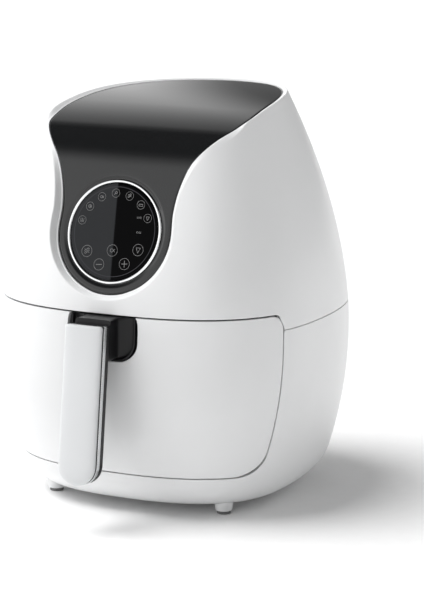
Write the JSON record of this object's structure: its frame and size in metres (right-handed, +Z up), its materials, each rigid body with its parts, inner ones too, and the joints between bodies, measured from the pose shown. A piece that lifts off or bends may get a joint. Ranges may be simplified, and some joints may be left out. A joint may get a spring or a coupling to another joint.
{
  "type": "air fryer",
  "caption": "Egg-shaped countertop air fryer with a touch display and a pull-out cooking drawer that holds a lift-out crisper plate.",
  "frame": {"origin": "on the resting surface, under the middle of the whole appliance's bounding box", "axes": "+Z up, -Y towards the front with the drawer handle, +X to the right seen from the front"},
  "size_m": [0.2702, 0.3294, 0.33],
  "materials": {
    "white_plastic": "satin white ABS",
    "black_gloss": "high-gloss black",
    "display_glass": "polished black lens",
    "chrome": "bright plated ring",
    "black_plastic": "fine-textured black",
    "satin_silver": "satin",
    "grey_rubber": "matte",
    "non_stick_coating": "non-stick coating on steel",
    "sheet_steel": "bare sheet",
    "heater_sheath": "oxidised metal sheath",
    "circuit_board": "green board",
    "bronze": "sintered bush",
    "silicone": "matte"
  },
  "bodies": {
    "housing": {"upper_housing": "white_plastic", "lower_housing": "white_plastic", "top_panel": "black_gloss", "display_ring": "chrome", "display_lens": "display_glass", "display_carrier": "black_plastic", "display_board": "circuit_board", "rear_vent": "black_plastic", "exhaust_duct": "black_plastic", "cord_gland": "black_plastic", "base_plate": "white_plastic", "drawer_deck": "white_plastic", "foot_1": "white_plastic", "foot_2": "white_plastic", "foot_3": "white_plastic", "foot_4": "white_plastic", "foot_pad_1": "grey_rubber", "foot_pad_2": "grey_rubber", "foot_pad_3": "grey_rubber", "foot_pad_4": "grey_rubber", "chamber_liner": "sheet_steel", "reflector_plate": "sheet_steel", "heat_shield": "sheet_steel", "drawer_rail_left": "sheet_steel", "drawer_rail_right": "sheet_steel", "latch_spring_left": "sheet_steel", "latch_spring_right": "sheet_steel", "heating_element": "heater_sheath", "heater_guard": "sheet_steel", "temperature_sensor": "sheet_steel", "thermal_fuse": "black_plastic", "motor_housing": "sheet_steel", "motor_bracket": "sheet_steel", "lower_bush": "bronze", "upper_bush": "bronze", "power_board": "circuit_board", "drawer_switch": "black_plastic"},
    "drawer": {"drawer_front": "white_plastic", "pan": "non_stick_coating", "handle_pocket": "black_plastic", "handle_arm": "black_plastic", "handle_core": "black_plastic", "handle_trim": "satin_silver", "handle_cover": "white_plastic", "handle_screw_1": "sheet_steel", "handle_screw_2": "sheet_steel"},
    "tray": {"crisper_tray": "non_stick_coating", "tray_bumper_1": "silicone", "tray_bumper_2": "silicone", "tray_bumper_3": "silicone", "tray_bumper_4": "silicone"},
    "rotor": {"motor_shaft": "sheet_steel", "motor_rotor": "sheet_steel", "convection_fan": "sheet_steel", "cooling_fan": "black_plastic", "fan_nut": "sheet_steel"},
    "plunger": {"switch_plunger": "black_plastic"}
  },
  "joints": [
    {"name": "drawer_slide", "type": "slide", "parent": "housing", "child": "drawer", "axis": [0, -1, 0], "range_m": [0, 0.24]},
    {"name": "tray_lift", "type": "slide", "parent": "drawer", "child": "tray", "axis": [0, 0, 1], "range_m": [0, 0.08]},
    {"name": "rotor_spin", "type": "hinge", "parent": "housing", "child": "rotor", "pos_m": [0, 0.00287, 0.2], "axis": [0, 0, 1], "continuous": true},
    {"name": "switch_press", "type": "slide", "parent": "housing", "child": "plunger", "axis": [0, 1, 0], "range_m": [0, 0.002], "stiffness_N_per_m": 150}
  ]
}
